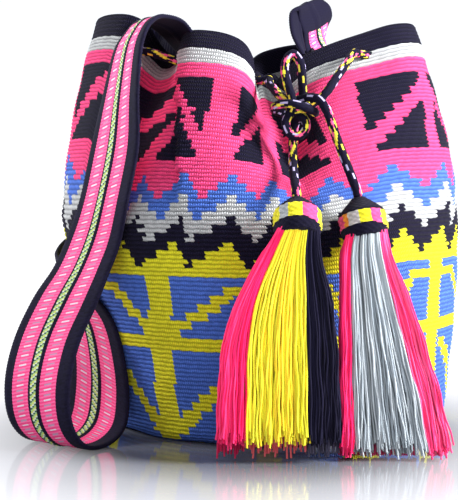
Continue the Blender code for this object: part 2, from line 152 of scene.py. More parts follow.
def smooth_line(points, steps, closed=False):
    """Points along a Catmull-Rom curve through the given points."""
    p = np.asarray(points, dtype=float)
    count = len(p)
    if closed:
        at = np.arange(count)
        a, b, c, d = p[at - 1], p, p[(at + 1) % count], p[(at + 2) % count]
    else:
        longer = np.vstack([2.0 * p[0] - p[1], p, 2.0 * p[-1] - p[-2]])
        a, b, c, d = longer[:-3], longer[1:-2], longer[2:-1], longer[3:]
    t = (np.arange(steps) / steps)[None, :, None]
    a, b, c, d = a[:, None], b[:, None], c[:, None], d[:, None]
    line = 0.5 * (2.0 * b + (c - a) * t + (2.0 * a - 5.0 * b + 4.0 * c - d) * t ** 2
                  + (3.0 * b - a - 3.0 * c + d) * t ** 3)
    line = line.reshape(-1, p.shape[1])
    return line if closed else np.vstack([line, p[-1:]])


def run_of(line):
    """Distance along a line at each of its points."""
    return np.concatenate([[0.0], np.cumsum(np.linalg.norm(np.diff(line, axis=0), axis=1))])


def even_line(line, count):
    """The same line as `count` points at even spacing."""
    run = run_of(line)
    want = np.linspace(0.0, run[-1], count)
    return np.stack([np.interp(want, run, line[:, k]) for k in range(line.shape[1])], axis=1)


def unit(v):
    return v / np.maximum(np.linalg.norm(v, axis=-1, keepdims=True), 1e-12)


def fibre_group():
    """Fine cotton fibres: a shade for the colour, and a bump that is laid over the strands' height."""
    group = bpy.data.node_groups.new("cotton fibres", "ShaderNodeTree")
    for name in ("Scale", "Strands", "Depth"):
        group.interface.new_socket(name, in_out="INPUT", socket_type="NodeSocketFloat")
    group.interface.new_socket("Shade", in_out="OUTPUT", socket_type="NodeSocketFloat")
    group.interface.new_socket("Normal", in_out="OUTPUT", socket_type="NodeSocketVector")
    node, link = group.nodes.new, group.links.new
    given, result = node("NodeGroupInput"), node("NodeGroupOutput")
    where, noise, bump = node("ShaderNodeTexCoord"), node("ShaderNodeTexNoise"), node("ShaderNodeBump")
    total, spread = node("ShaderNodeMath"), node("ShaderNodeMapRange")
    total.operation = "ADD"
    noise.inputs["Detail"].default_value = 3.0
    spread.inputs["To Min"].default_value = 0.78
    spread.inputs["To Max"].default_value = 1.16
    bump.inputs["Strength"].default_value = 0.7
    link(where.outputs["Object"], noise.inputs["Vector"])
    link(given.outputs["Scale"], noise.inputs["Scale"])
    link(noise.outputs["Fac"], total.inputs[0])
    link(given.outputs["Strands"], total.inputs[1])
    link(total.outputs[0], bump.inputs["Height"])
    link(given.outputs["Depth"], bump.inputs["Distance"])
    link(noise.outputs["Fac"], spread.inputs["Value"])
    link(spread.outputs["Result"], result.inputs["Shade"])
    link(bump.outputs["Normal"], result.inputs["Normal"])
    return group


def strand_group():
    """Height of slanted strands from a piece's own UV: one unit is a stitch across or a row down."""
    group = bpy.data.node_groups.new("slanted strands", "ShaderNodeTree")
    group.interface.new_socket("Per Stitch", in_out="INPUT", socket_type="NodeSocketFloat")
    group.interface.new_socket("Height", in_out="OUTPUT", socket_type="NodeSocketFloat")
    node, link = group.nodes.new, group.links.new
    given, result = node("NodeGroupInput"), node("NodeGroupOutput")
    uv, split = node("ShaderNodeUVMap"), node("ShaderNodeSeparateXYZ")
    uv.uv_map = "stitch"
    across, slant, turn, wave = (node("ShaderNodeMath") for _ in range(4))
    across.operation, slant.operation, turn.operation, wave.operation = "MULTIPLY", "ADD", "MULTIPLY", "SINE"
    turn.inputs[1].default_value = 2.0 * math.pi
    link(uv.outputs["UV"], split.inputs[0])
    link(split.outputs["X"], across.inputs[0])
    link(given.outputs["Per Stitch"], across.inputs[1])
    link(across.outputs[0], slant.inputs[0])
    link(split.outputs["Y"], slant.inputs[1])
    link(slant.outputs[0], turn.inputs[0])
    link(turn.outputs[0], wave.inputs[0])
    link(wave.outputs[0], result.inputs["Height"])
    return group


FIBRES = fibre_group()
STRANDS = strand_group()


def yarn(name, colour=None, scale=1400.0, depth=0.0003, per_stitch=0.0):
    """Cotton yarn. Without a colour it takes the one that is painted on the faces."""
    made = bpy.data.materials.new(name)
    made.use_nodes = True
    node, link = made.node_tree.nodes.new, made.node_tree.links.new
    shader = made.node_tree.nodes["Principled BSDF"]
    fibres, tint = node("ShaderNodeGroup"), node("ShaderNodeVectorMath")
    fibres.node_tree = FIBRES
    fibres.inputs["Scale"].default_value = scale
    fibres.inputs["Depth"].default_value = depth
    tint.operation = "MULTIPLY"
    if colour is None:
        paint = node("ShaderNodeAttribute")
        paint.attribute_name = "yarn"
        link(paint.outputs["Color"], tint.inputs[0])
    else:
        tint.inputs[0].default_value = colour
    if per_stitch:
        strands = node("ShaderNodeGroup")
        strands.node_tree = STRANDS
        strands.inputs["Per Stitch"].default_value = per_stitch
        link(strands.outputs["Height"], fibres.inputs["Strands"])
    link(fibres.outputs["Shade"], tint.inputs[1])
    link(tint.outputs["Vector"], shader.inputs["Base Color"])
    link(fibres.outputs["Normal"], shader.inputs["Normal"])
    shader.inputs["Roughness"].default_value = 0.9
    shader.inputs["Sheen Weight"].default_value = 0.03
    shader.inputs["Sheen Roughness"].default_value = 0.4
    shader.inputs["Specular IOR Level"].default_value = 0.12
    return made


def knit(name, columns, rows, place, paint, finish, per_row=1.0, drop=None):
    """A grid of columns by rows. `place` moves its vertices, `paint` colours its faces.

    place(i, j) gives positions and shades for columns i and rows j of vertices; paint(i, j) gives
    linear colours for faces. `drop`, where given, says which faces are left out, by their centres.
    `per_row` is the share of a row of stitches that one row of faces stands for. Columns and rows
    that come to lie on each other are joined.
    """
    bm = bmesh.new()
    bmesh.ops.create_grid(bm, x_segments=columns, y_segments=rows, size=0.5)
    mesh = bpy.data.meshes.new(name)
    bm.to_mesh(mesh)
    flat = np.empty(len(mesh.vertices) * 3)
    mesh.vertices.foreach_get("co", flat)
    flat = flat.reshape(-1, 3)
    i = np.rint((flat[:, 0] + 0.5) * columns).astype(int)
    j = np.rint((flat[:, 1] + 0.5) * rows).astype(int)
    places, shades = place(i, j)
    mesh.vertices.foreach_set("co", places.ravel())
    corner = np.empty(len(mesh.loops), dtype=np.int32)
    mesh.loops.foreach_get("vertex_index", corner)
    faces = corner.reshape(-1, 4)
    painted = paint(i[faces].min(axis=1), j[faces].min(axis=1))
    colours = np.repeat(painted, 4, axis=0) * shades[corner][:, None]
    colours = np.hstack([np.clip(colours, 0.0, 1.0), np.ones((len(colours), 1))])
    mesh.color_attributes.new("yarn", "FLOAT_COLOR", "CORNER").data.foreach_set("color", colours.ravel())
    uv = np.stack([i[corner], j[corner] * per_row], axis=1)
    mesh.uv_layers.new(name="stitch").data.foreach_set("uv", uv.ravel().astype(float))
    bm.clear()
    bm.from_mesh(mesh)
    if drop is not None:
        gone = drop(places[faces].mean(axis=1))
        bm.faces.ensure_lookup_table()
        bmesh.ops.delete(bm, geom=[bm.faces[k] for k in np.nonzero(gone)[0]], context="FACES")
    bmesh.ops.remove_doubles(bm, verts=bm.verts, dist=1e-6)
    bm.to_mesh(mesh)
    bm.free()
    mesh.materials.append(finish)
    mesh.shade_smooth()
    made = bpy.data.objects.new(name, mesh)
    bpy.context.scene.collection.objects.link(made)
    return made


# The cord's sizes, then its three stretches as the part has them
MM = 0.001
CORD = 0.0056
BRAID_AROUND = 24
BRAID_STEP = 0.0006
BRAID_CELLS = 8
BRAID_PITCH = 0.0068
BRAID_INSET = 0.00022
BRAID_RELIEF = 0.0004
# Painted shade and light: the cord's colour is the first share between the strands, plus the second on their
# tops
BRAID_GROOVE_SHADE = 0.62
BRAID_TOP_LIGHT = 0.42
CORD_END = 0.1
NAVY = linear(20, 17, 40)
NECK_RUN = (
    (-10.5, -61.5, 232.9), (-17.0, -57.5, 233.2), (-27.0, -55.5, 236.5), (-43.0, -55.0, 239.8),
    (-58.0, -55.5, 243.0), (-68.5, -56.0, 246.3), (-79.0, -54.0, 250.0), (-91.0, -48.0, 253.5),
    (-102.0, -41.0, 253.5), (-111.0, -25.0, 253.6), (-115.0, 0.0, 253.6), (-111.0, 24.0, 253.7),
    (-102.0, 38.0, 253.7), (-88.5, 44.0, 253.8), (-77.0, 45.0, 248.6), (-66.0, 47.0, 243.4),
    (-56.0, 51.0, 240.7), (-45.0, 55.0, 238.1), (-32.0, 58.0, 235.5), (-22.0, 60.0, 235.8),
    (-13.5, 63.0, 236.3), (0.0, 68.0, 238.1), (14.0, 71.0, 239.9), (26.0, 67.0, 241.7),
    (35.0, 58.0, 243.4), (42.0, 50.0, 245.6), (52.0, 45.0, 249.0), (64.0, 44.0, 252.5),
    (76.0, 41.5, 255.9), (85.0, 37.0, 255.4), (91.0, 28.5, 254.8), (93.0, 16.0, 254.1),
    (92.0, 1.0, 253.4), (85.5, -15.0, 252.7), (75.5, -28.5, 252.1), (65.5, -37.5, 251.2),
    (58.0, -50.5, 250.7), (52.5, -57.5, 250.6),
)
LEFT_END = (
    (-10.16, -61.72, 232.88), (-6.38, -64.16, 232.88),
    (-6.6, -70, 230), (-4.4, -80, 226), (-1.6, -90, 221.5), (3.2, -98.8, 218), (10.1, -105.4, 217),
    (17, -111, 218.3), (22.6, -115, 216.6), (27, -118, 210), (30.5, -121, 200), (34, -125, 189),
    (37.8, -129.6, 178), (41.2, -134, 168.5), (43.8, -138, 160.8), (44.5, -139.6, 156.2),
)
RIGHT_END = (
    (52.25, -57.82, 250.62), (49.5, -61.37, 250.62),
    (46.4, -66, 247.6), (41.6, -76, 240.6), (35, -87.5, 231.5), (28.6, -94.5, 222.5), (20.5, -94.5, 214.6),
    (12, -92, 210.8), (4, -93, 209.6), (-2.5, -98, 210.4), (-4.6, -105.5, 212), (-1.8, -113, 213.6),
    (5, -117.6, 214), (12, -118, 212.5), (18.2, -114.6, 210), (20.6, -108.5, 209), (18.2, -102.4, 211),
    (14.4, -100, 216.2), (13.4, -101.6, 223), (12.8, -104.5, 229.5), (12.2, -106.5, 235.5),
    (10.9, -107.5, 241), (6.8, -108, 245.4), (2.6, -108.5, 241), (1.6, -109, 234.5), (3, -109.5, 227.5),
    (5.4, -110, 220.5),
    (6.2, -110.3, 213.4), (4.4, -111, 207.6), (2.2, -112.5, 201.8), (4.4, -114, 196), (9.2, -114.4, 194),
    (13.9, -114, 197), (14.9, -112.5, 202.5), (12, -109, 206), (8.6, -104.4, 203.5), (7.4, -104.2, 196.5),
    (6.8, -108.4, 188), (6.5, -117.5, 179.5), (6.4, -128, 171.6), (6.6, -136.5, 166.4), (6.9, -143, 162.9),
    (7, -147.2, 159.8), (7, -149, 155.9),
)
STRAND_COLOURS = np.array([
    [NAVY, NAVY, NAVY, NAVY, NAVY, linear(250, 95, 150), linear(245, 235, 70), NAVY],
    [NAVY, linear(245, 225, 80), NAVY, NAVY, NAVY, NAVY, linear(190, 180, 225), NAVY],
])
cord_finish = yarn("braided_cord", scale=1800.0, depth=0.0002)


def braid_strand(around, along):
    """Which of the two families of strands lies on top, its number, and how high it stands."""
    p = BRAID_CELLS * around + along / BRAID_PITCH
    q = BRAID_CELLS * around - along / BRAID_PITCH
    family = (np.floor(p) + np.floor(q)).astype(int) % 2
    number = np.where(family == 0, np.floor(p), np.floor(q)).astype(int) % BRAID_CELLS
    height = np.sin(math.pi * (p - np.floor(p))) * np.sin(math.pi * (q - np.floor(q)))
    return family, number, height


def make_cord(name, points):
    """A braided tube along a line; gives the object and its centre line."""
    line = smooth_line(np.asarray(points) * MM, steps=12)
    rows = int(run_of(line)[-1] / BRAID_STEP)
    line = even_line(line, rows + 1)
    ahead = unit(np.gradient(line, axis=0))
    side = np.empty_like(line)
    side[0] = unit(np.cross(ahead[0], (0.0, 0.3, 1.0)))
    for k in range(1, len(line)):
        side[k] = side[k - 1] - ahead[k] * side[k - 1].dot(ahead[k])
        side[k] /= np.linalg.norm(side[k])
    up = np.cross(side, ahead)

    def place(i, j):
        turn = 2.0 * math.pi * (i % BRAID_AROUND) / BRAID_AROUND
        # A hair past the borders of the strands, so that rounding can't take the wrong side
        height = braid_strand(i / BRAID_AROUND + 1e-4, j * BRAID_STEP + 1e-6)[2]
        reach = 0.5 * CORD - BRAID_INSET + BRAID_RELIEF * height
        reach = np.where((j == 0) | (j == rows), CORD_END * reach, reach)[:, None]
        around = side[j] * np.cos(turn)[:, None] + up[j] * np.sin(turn)[:, None]
        # Painted shade between the strands and painted light on their tops
        return line[j] + around * reach, BRAID_GROOVE_SHADE + BRAID_TOP_LIGHT * height

    def paint(i, j):
        family, number, _ = braid_strand((i + 0.5) / BRAID_AROUND, (j + 0.5) * BRAID_STEP)
        return STRAND_COLOURS[family, number]

    made = knit(name, BRAID_AROUND, rows, place, paint, cord_finish)
    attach(made, "root")
    return made, line


cord_neck, neck_line = make_cord("cord_neck", NECK_RUN)
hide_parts("drawstring_neck")
cord_left, left_line = make_cord("cord_left_end", LEFT_END)
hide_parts("drawstring_left_end")
cord_right, right_line = make_cord("cord_right_end", RIGHT_END)
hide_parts("drawstring_right_end")


# Bag: one sheet of tight crochet, worked in rounds from the base up to the rim, with the pattern
# in it stitch by stitch. The neck is drawn into folds. Stitches count from the left of the front.
BASE_FILLET = 0.010
BASE_RADIUS = 0.1185
BELLY_RADIUS = 0.139
BELLY_HEIGHT = 0.143
LEAN = 0.0115
WALL = 0.004
WALL_STRAIGHT = 0.55
WALL_ROUND = 0.45
NECK_CLOTH = 0.141
NECK_POWER = 1.72
NECK_POWER_LOSS = 0.80
NECK_STEPS = 40
LEAST_CLIMB = 0.12
EYELET_DROP = 0.018
EYELET_REACH = 0.008
EYELET_RADIUS = 0.0034
FRONT_FOLD_ANGLE = 11.5
NECK_PLAN = (
    (-5, -29), (-12, -36), (-15, -50), (-18, -64), (-27, -74), (-42, -77), (-59, -73), (-67, -63),
    (-70, -49), (-78, -39), (-87, -44), (-94, -53), (-106, -53), (-119, -39), (-128, -18), (-131, 6),
    (-127, 29), (-116, 48), (-103, 58), (-91, 52), (-86, 36), (-76, 27), (-67, 35), (-66, 54),
    (-60, 72), (-47, 80), (-35, 74), (-31, 56), (-23, 41), (-14, 53), (-13, 72), (-2, 86), (14, 90),
    (29, 86), (38, 74), (40, 56), (42, 38), (54, 24), (68, 26), (75, 36), (79, 50), (89, 52), (99, 36),
    (103, 14), (102, -9), (96, -29), (82, -43), (62, -50), (42, -55), (22, -56), (9, -50), (2, -37),
)
STITCHES = 288
ROUNDS = 102
# The first round of each band of the pattern, counted down from the rim. Those of the zigzags are
# where their highest steps start.
GREY_ROUND, PINK_ROUND, PANEL_ROUND, PANEL_END = 5, 9, 13, 33
BLUE_ZIGZAG, GREY_ZIGZAG, NAVY_ZIGZAG, YELLOW_ZIGZAG = 37, 42, 47, 53
NET_ROUND, BASE_ROUND = 61, 100
# Rounds are a little taller in the neck than in the wall: drop below the rim at some of them
ROUND_MARKS = (
    0, GREY_ROUND, PINK_ROUND, PANEL_ROUND, PANEL_END, BLUE_ZIGZAG, NET_ROUND, BASE_ROUND, ROUNDS,
)
ROUND_DROPS = (0.0, 0.0156, 0.0286, 0.0415, 0.1013, 0.1117, 0.1764, 0.2840, 0.28968)
FIRST_ANGLE = -33.5
EYELETS = np.array((
    (-18.2, -57.0, 233.4), (-66.6, -56.1, 245.7), (-91.9, -47.5, 253.7), (-90.3, 43.6, 254.2),
    (-64.6, 47.4, 242.8), (-33.6, 57.7, 235.6), (-11.6, 63.7, 236.5), (38.6, 53.3, 244.3),
    (78.6, 40.6, 256.2), (59.6, -48.6, 250.7),
)) * MM
neck_plan = smooth_line(np.asarray(NECK_PLAN) * MM, steps=16, closed=True)
neck_plan = np.vstack([neck_plan, neck_plan[:1]])
neck_turn = run_of(neck_plan)
neck_turn *= 360.0 / neck_turn[-1]


def lower_radius(height):
    """Radius of the wall between the base and the belly."""
    part = height / BELLY_HEIGHT
    swell = WALL_STRAIGHT * part + WALL_ROUND * np.sin(0.5 * math.pi * part)
    return BASE_RADIUS + (BELLY_RADIUS - BASE_RADIUS) * swell


def bag_face(angle, drop):
    """Outer face of the cloth, by its angle from the front and its drop below the rim."""
    turn = np.radians(angle)
    outward = np.stack([np.sin(turn), -np.cos(turn)], axis=-1)
    belly = outward * BELLY_RADIUS - (LEAN, 0.0)
    place = (FRONT_FOLD_ANGLE - angle) % 360.0
    rim = np.stack([np.interp(place, neck_turn, neck_plan[:, k]) for k in (0, 1)], axis=-1)
    pull = rim - belly
    length = np.linalg.norm(pull, axis=-1)
    power = NECK_POWER - NECK_POWER_LOSS * length / NECK_CLOTH
    up = np.maximum(1.0 - drop / NECK_CLOTH, 0.0)
    # The strip keeps its length: what a step of it doesn't spend on going in, it climbs
    height, last = np.full(len(turn), BELLY_HEIGHT), np.zeros(len(turn))
    step = NECK_CLOTH * up / NECK_STEPS
    for k in range(1, NECK_STEPS + 1):
        now = (up * k / NECK_STEPS / (1.0 - EYELET_DROP / NECK_CLOTH)) ** power
        height += np.sqrt(np.maximum(step ** 2 - ((now - last) * length) ** 2, (LEAST_CLIMB * step) ** 2))
        last = now
    neck = np.column_stack([belly + pull * last[:, None], height])
    below = BELLY_HEIGHT + NECK_CLOTH - drop
    bend = np.clip((BASE_FILLET - below) / BASE_FILLET, 0.0, 0.5 * math.pi)
    level = np.maximum(below, BASE_FILLET)
    inward = np.maximum(BASE_FILLET - below - 0.5 * math.pi * BASE_FILLET, 0.0)
    radius = np.maximum(lower_radius(level) - BASE_FILLET * (1.0 - np.cos(bend)) - inward, 0.0)
    z = np.where(below > BASE_FILLET, below, BASE_FILLET * (1.0 - np.sin(bend)))
    wall = np.column_stack([outward * radius[:, None], z])
    wall[:, 0] -= LEAN * np.minimum(level / BELLY_HEIGHT, 1.0) * (below > 0.0)
    return np.where((drop < NECK_CLOTH)[:, None], neck, wall)


NEAR_ANGLE = 0.5
NEAR_DROP = 0.0006


def bag_surface(angle, drop, out):
    """The cloth's face moved along its own normal by `out`."""
    here = bag_face(angle, drop)
    across = bag_face(angle + NEAR_ANGLE, drop) - bag_face(angle - NEAR_ANGLE, drop)
    down = bag_face(angle, drop + NEAR_DROP) - bag_face(angle, drop - NEAR_DROP)
    normal = unit(np.cross(down, across))
    return here + normal * np.asarray(out)[:, None]


PINK, GREY, BLUE = linear(253, 76, 136), linear(190, 192, 194), linear(78, 114, 206)
YELLOW = linear(228, 222, 44)
# Pink gaps stand between the navy panels of the neck and a slanted pink bar cuts each panel:
# stitches of navy left above and below the bar, for ten pairs of rounds from the top.
PANEL_PITCH = 18
PANEL_WIDTH = 13
GAP_SIDE = 2
UPPER_NAVY = np.array((13, 12, 10, 8, 6, 4, 2, 0, 0, 0))
LOWER_NAVY = np.array((0, 0, 0, 0, 2, 4, 6, 8, 10, 12))
ZIGZAG = np.array((0, 2, 4, 6, 4, 2))
# A hand-made pattern drifts sideways from round to round: for some rounds, pairs of a place on the
# cloth and the place in the pattern that lies there, both in stitches.
NECK_DRIFT = (
    (14, ((-16, -15), (4.5, -2), (6.5, 3), (14.3, 16), (20.3, 21), (27, 34), (34, 39), (45, 52), (56, 57),
          (73, 70), (97, 97), (254.5, 237), (270, 250))),
    (22, ((-16, -15), (5, -2), (7, 3), (13.5, 16), (19.7, 21), (27, 34), (33, 39), (45, 52), (55, 57),
          (72, 70), (97, 97), (254.5, 237), (270, 250))),
    (33, ((-16, -15), (-3, -2), (1, 3), (12.4, 16), (19, 21), (27.2, 34), (31.7, 39), (44.5, 52),
          (53.5, 57), (70.5, 70), (97, 97), (254.5, 237), (269.5, 250))),
)
ZIGZAG_DRIFT = (
    (40, ((-0.5, 1), (3, 7), (10.5, 13), (14, 19), (20.5, 25), (25.5, 31), (28.5, 37), (36, 43), (42, 49),
          (49, 55), (57, 61), (67.5, 67), (77, 73), (97, 97), (240, 241), (255.5, 253), (267.5, 259),
          (277, 271))),
    (47, ((-0.5, 1), (5.5, 7), (9.5, 13), (12.5, 19), (20, 25), (25.5, 31), (29, 37), (36, 43), (43, 49),
          (50, 55), (58, 61), (66, 67), (77, 73), (97, 97), (240, 241), (256, 253), (268, 265), (277, 277))),
    (51, ((-6, 1), (2, 7), (8.5, 13), (11, 19), (19.5, 25), (25, 31), (29, 37), (36, 43), (43.5, 49),
          (51, 55), (58.5, 61), (65, 67), (74, 73), (97, 97), (240, 241), (270, 271), (276, 277))),
    (58, ((-8, 1), (-2, 7), (5.5, 13), (10, 19), (17.5, 25), (23, 31), (29, 37), (36, 43), (43.5, 49),
          (51, 55), (58, 61), (63.5, 67), (71, 73), (97, 97), (240, 241), (268, 271), (274, 277))),
)
NET_DRIFT = (
    (61, ((-20, -24), (-8.3, -12), (-0.6, -3), (5.4, 3), (17, 12), (33, 27), (50, 48), (67, 69), (73, 75),
          (97, 97), (240, 240))),
    (80, ((-24, -24), (-10.5, -12), (-3, -3), (3, 3), (14.5, 12), (30, 27), (49, 48), (67, 69), (73, 75),
          (97, 97), (236, 236))),
    (100, ((-27, -24), (-14, -12), (-5, -3), (1, 3), (12, 12), (26, 27), (47, 48), (66.5, 69), (72.5, 75),
           (97, 97), (232, 232))),
)


def drifted(stitch, row, drift):
    """Stitch of the drawn pattern that lies at a stitch of the cloth."""
    drawn = []
    for _, pairs in drift:
        cloth, place = np.array(pairs, dtype=float).T
        cloth = np.concatenate([cloth - STITCHES, cloth, cloth + STITCHES])
        place = np.concatenate([place - STITCHES, place, place + STITCHES])
        drawn.append(np.interp(stitch + 0.5, cloth, place))
    drawn = np.array(drawn)
    level = np.interp(row, [mark for mark, _ in drift], np.arange(len(drift)))
    low = np.minimum(level.astype(int), len(drift) - 2)
    part, at = level - low, np.arange(len(stitch))
    return np.floor(drawn[low, at] * (1.0 - part) + drawn[low + 1, at] * part).astype(int) % STITCHES


# The yellow net on the lower wall: upright bars with a main one every 48 stitches, and on each main
# bar an arrow's head above and a tree's branches below one level bar. Widths count from the bar's
# middle. The head's edges are given for pairs of rounds from the net's top.
NET_PITCH = 48
BAR_SIDE = 3.0
BETWEEN_SIDE = 21.0
HEAD_INNER = np.array((99.0, 11.7, 9.7, 7.7, 5.7, 0.0, 0.0, 0.0))
HEAD_OUTER = np.array((99.0, 25.0, 13.7, 11.7, 9.7, 6.7, 4.7, 0.0))
LEVEL_FIRST, LEVEL_LAST, BRANCH_TOP = 14, 16, 19
FOOT_PAIRS = 3
BRANCH_INNER, BRANCH_OUTER, BRANCH_SLOPE = 3.5, 8.5, 2.0


def net_is_yellow(stitch, row):
    """Whether a stitch of the net is yellow, not blue, with rows counted from the net's top."""
    to_bar = np.abs((stitch + NET_PITCH // 2) % NET_PITCH - NET_PITCH // 2 + 0.5)
    pair = np.minimum(row // 2, len(HEAD_INNER) - 1)
    head = (to_bar > HEAD_INNER[pair]) & (to_bar < HEAD_OUTER[pair])
    rise = (BASE_ROUND - NET_ROUND - 1 - row) // 2
    spread = BRANCH_SLOPE * (rise - FOOT_PAIRS)
    near = np.where(rise < FOOT_PAIRS, 0.0, BRANCH_INNER + spread)
    far = np.where(rise < FOOT_PAIRS, BAR_SIDE + BRANCH_SLOPE * rise, BRANCH_OUTER + spread)
    branches = (row >= BRANCH_TOP) & (to_bar > near) & (to_bar < far)
    level = (row >= LEVEL_FIRST) & (row <= LEVEL_LAST)
    bars = (to_bar < BAR_SIDE) | (to_bar > BETWEEN_SIDE)
    return bars | head | branches | level


def pattern(stitch, row):
    """Colour of each stitch of the bag, rows counted down from the rim."""
    stitch = stitch % STITCHES
    step = ZIGZAG[(drifted(stitch, row, ZIGZAG_DRIFT) // 2) % len(ZIGZAG)]
    in_neck = drifted(stitch, row, NECK_DRIFT)
    # The bar of a panel rises to the right in one and to the left in the next
    to_gap = in_neck % PANEL_PITCH
    gap = (to_gap <= GAP_SIDE) | (to_gap >= PANEL_PITCH - GAP_SIDE)
    place = np.where((in_neck - PANEL_PITCH) % (2 * PANEL_PITCH) < PANEL_PITCH,
                     to_gap - GAP_SIDE - 1, PANEL_PITCH - GAP_SIDE - 1 - to_gap)
    pair = np.clip((row - PANEL_ROUND) // 2, 0, len(UPPER_NAVY) - 1)
    navy_panel = ~gap & ((place < UPPER_NAVY[pair]) | (place >= PANEL_WIDTH - LOWER_NAVY[pair]))
    colour = np.tile(BLUE, (len(stitch), 1))
    colour[row < BLUE_ZIGZAG + step] = PINK
    colour[(row >= PANEL_ROUND) & (row < PANEL_END) & navy_panel] = NAVY
    colour[(row >= GREY_ROUND) & (row < PINK_ROUND)] = GREY
    colour[row < GREY_ROUND] = NAVY
    colour[row >= GREY_ZIGZAG + step] = GREY
    colour[row >= NAVY_ZIGZAG + step] = NAVY
    colour[row >= YELLOW_ZIGZAG + step] = YELLOW
    net = (row >= NET_ROUND) & (row < BASE_ROUND)
    in_net = drifted(stitch[net], row[net], NET_DRIFT)
    colour[net] = np.where(net_is_yellow(in_net, row[net] - NET_ROUND)[:, None], YELLOW, BLUE)
    colour[row >= BASE_ROUND] = BLUE
    return colour


crochet = yarn("crochet", scale=1500.0, depth=0.00035, per_stitch=2.0)


def near_eyelet(centres):
    """Faces that make way for the cord where it goes through the wall."""
    gone = np.zeros(len(centres), dtype=bool)
    for eyelet in EYELETS:
        close = np.nonzero(np.linalg.norm(centres - eyelet, axis=1) < EYELET_REACH)[0]
        if len(close):
            away = np.linalg.norm(centres[close][:, None] - neck_line[None], axis=2).min(axis=1)
            gone[close[away < EYELET_RADIUS]] = True
    return gone


def drop_at(row):
    """Drop below the rim along the cloth for a row, which may be a fraction."""
    return np.interp(row, ROUND_MARKS, ROUND_DROPS)


# The left back fold is pulled up, by stitches from its middle
LIFT, LIFT_STITCH, LIFT_SIDE = 0.011, 222.0, 20.0


def lift_at(stitch):
    """How far the rim stands higher than drawn."""
    return LIFT * np.exp(-((stitch - LIFT_STITCH) / LIFT_SIDE) ** 4)


# The rounds run higher at the right of the front and in the left fold: a share for each stitch,
# and a height for each round
RIGHT_SHARE = ((34, 60, 84, 120), (0.0, 1.0, 1.0, 0.0))
RIGHT_RISE = ((5, 12, 33, 61, 80, 100), (0.0, 0.003, 0.0075, 0.0085, 0.008, 0.0))
LEFT_SHARE = ((225, 245, 268, 276), (0.0, 1.0, 1.0, 0.0))
LEFT_RISE = ((5, 13, 33, 41, 53, 61), (0.0, 0.007, 0.013, 0.013, 0.005, 0.0))


def rise_at(stitch, row):
    """How far the rounds climb above where they are drawn."""
    return (np.interp(stitch, *RIGHT_SHARE) * np.interp(row, *RIGHT_RISE)
            + np.interp(stitch, *LEFT_SHARE) * np.interp(row, *LEFT_RISE))


# The cloth in the front fold hangs less deep between its two sides than drawn
FOLD_RISE, FOLD_STITCH, FOLD_SIDE, FOLD_ROUNDS = 0.042, 35.5, 4.8, 26.0


def raised(places, stitch, row):
    """Places on the cloth, moved up where they are in the front fold."""
    places = places.copy()
    share = FOLD_RISE * np.exp(-((stitch - FOLD_STITCH) / FOLD_SIDE) ** 2)
    places[:, 2] += share * np.clip(1.0 - row / FOLD_ROUNDS, 0.0, 1.0)
    return places


# A sharp fold at the left of the front: the stitch of its edge and its share of the full depth, for
# rounds. Its left side lies deep, its edge stands out, and both fade over some stitches.
CREASE_EDGE = ((0, 7.5, 19, 31.5, 40, 46), (3.0, 4.0, 6.0, 7.5, 8.5, 9.0))
CREASE_SHARE = ((0, 3, 12, 36, 46), (0.0, 0.35, 1.0, 1.0, 0.0))
CREASE_SINK, CREASE_STAND, CREASE_FADE = 0.0062, 0.0016, 5.0


def crease(stitch, row):
    """Height of the fold over the cloth around it."""
    off = (stitch - np.interp(row, *CREASE_EDGE) + 0.5 * STITCHES) % STITCHES - 0.5 * STITCHES
    left = -CREASE_SINK * np.exp(np.minimum(off, 0.0) / CREASE_FADE)
    right = CREASE_STAND * np.exp(-off / CREASE_FADE)
    return np.interp(row, *CREASE_SHARE) * np.where(off < 0.0, left, right)


# Each round has three rows of vertices: the groove above it and the two sides of its stitches. The groove's
# row is painted dark and the upper side a little darker, as painted shade.
ROUND_ROWS = 3
STITCH_SLANT = np.array((-0.22, 0.0, 0.22))
STITCH_OUT = np.array((-0.0005, 0.00034, 0.00028))
STITCH_SHADE = np.array((0.5, 1.0, 0.94))
# Rounds and stitches are uneven and the cloth is slack: size of each wave, and its turn per stitch
# and per round
ROUND_WAVE, ROUND_TURN, ROUND_SHIFT = 0.00026, 2.1, 1.3
STITCH_WAVE, STITCH_TURN = 0.0001, 3.3
SLACK, SLACK_TURN, SLACK_SHIFT, SLACK_FADE = 0.0007, 13.75, 0.31, 0.17
TINT_LEAST, TINT_SPREAD = 0.90, 0.16


def angle_of(stitch):
    """Angle from the front in degrees."""
    return stitch * (360.0 / STITCHES) + FIRST_ANGLE


def wall_place(i, j):
    i, level, row = i % STITCHES, j % ROUND_ROWS, j / ROUND_ROWS
    wave = ROUND_WAVE * np.sin(i * ROUND_TURN + (j // ROUND_ROWS) * ROUND_SHIFT) * (j > 0)
    slack = SLACK * np.sin(np.radians(i * SLACK_TURN) + SLACK_SHIFT * row) * np.sin(SLACK_FADE * row)
    out = STITCH_OUT[level] + STITCH_WAVE * np.sin(i * STITCH_TURN + j) + crease(i, row) + slack
    lift = lift_at(i) * np.maximum(1.0 - row / GREY_ROUND, 0.0)
    drop = drop_at(row) + wave - lift - rise_at(i, row)
    places = bag_surface(angle_of(i + STITCH_SLANT[level]), drop, out)
    return raised(places, i, row), STITCH_SHADE[level]


def wall_paint(i, j):
    row = j // ROUND_ROWS
    return pattern(i, row) * (TINT_LEAST + TINT_SPREAD * hashed(i, row))[:, None]


def plain(colour):
    """Paint of one colour."""
    return lambda i, j: np.tile(colour, (len(i), 1))


bag_wall = knit("bag_wall", STITCHES, ROUNDS * ROUND_ROWS, wall_place, wall_paint, crochet,
                1.0 / ROUND_ROWS, drop=near_eyelet)
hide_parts("bag_body")

